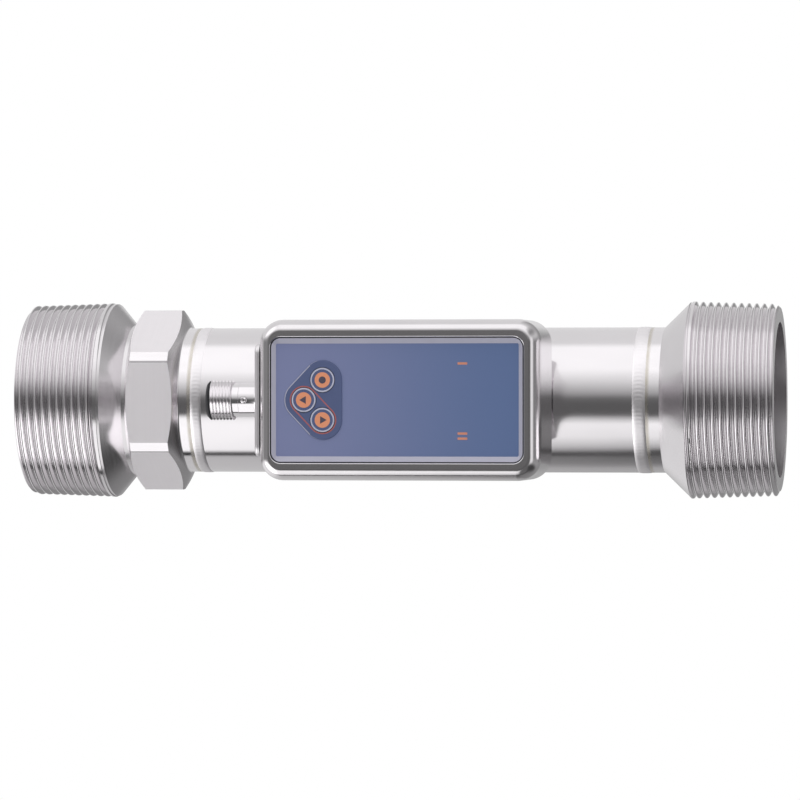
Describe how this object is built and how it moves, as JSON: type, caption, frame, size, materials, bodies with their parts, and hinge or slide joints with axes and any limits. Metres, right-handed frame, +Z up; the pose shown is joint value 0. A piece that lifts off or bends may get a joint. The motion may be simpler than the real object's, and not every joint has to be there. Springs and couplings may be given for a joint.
{
  "type": "ultrasonic flow meter",
  "caption": "Inline ultrasonic flow meter: steel pipe with male threaded ends, a hexagon, a window housing with push keys and a round cable connector.",
  "frame": {"origin": "on the pipe axis, half way along the meter", "axes": "+X along the flow from inlet to outlet, the window faces -Y, +Z up"},
  "size_m": [0.23, 0.0821, 0.0596],
  "materials": {
    "turned_steel": "turned",
    "polished_steel": "polished",
    "weld_steel": "satin",
    "seal_rubber": "matt",
    "blue_panel": "gloss",
    "key_plastic": "satin",
    "dark_plastic": "matt",
    "circuit_board": "satin",
    "display_glass": "gloss",
    "light_guide": "gloss",
    "wedge_plastic": "satin",
    "piezo_element": "matt",
    "contact_brass": "bright"
  },
  "bodies": {
    "meter": {"board_screws": "turned_steel", "board_standoffs": "contact_brass", "clamp_screws": "turned_steel", "connector_board": "circuit_board", "connector_gasket": "seal_rubber", "connector_insert": "dark_plastic", "connector_pins": "contact_brass", "connector_plate": "polished_steel", "connector_sleeve": "turned_steel", "display_cell": "display_glass", "display_frame": "dark_plastic", "front_panel": "blue_panel", "housing_shell": "polished_steel", "index_pin": "turned_steel", "inlet_fitting": "turned_steel", "inlet_piezo": "piezo_element", "inlet_wedge": "wedge_plastic", "inlet_weld": "weld_steel", "key_switches": "dark_plastic", "main_board": "circuit_board", "measuring_pipe": "polished_steel", "mounting_saddle": "polished_steel", "outlet_fitting": "turned_steel", "outlet_piezo": "piezo_element", "outlet_wedge": "wedge_plastic", "outlet_weld": "weld_steel", "output_light_guides": "light_guide", "panel_gasket": "seal_rubber", "signal_chips": "dark_plastic", "temperature_element": "contact_brass", "transducer_clamp": "polished_steel"},
    "key_up": {"key_up": "key_plastic"},
    "key_enter": {"key_enter": "key_plastic"},
    "key_down": {"key_down": "key_plastic"}
  },
  "joints": [
    {"name": "key_up_press", "type": "slide", "parent": "meter", "child": "key_up", "axis": [0, 1, 0], "range_m": [0, 0.0004], "stiffness_N_per_m": 400},
    {"name": "key_enter_press", "type": "slide", "parent": "meter", "child": "key_enter", "axis": [0, 1, 0], "range_m": [0, 0.0004], "stiffness_N_per_m": 400},
    {"name": "key_down_press", "type": "slide", "parent": "meter", "child": "key_down", "axis": [0, 1, 0], "range_m": [0, 0.0004], "stiffness_N_per_m": 400}
  ]
}
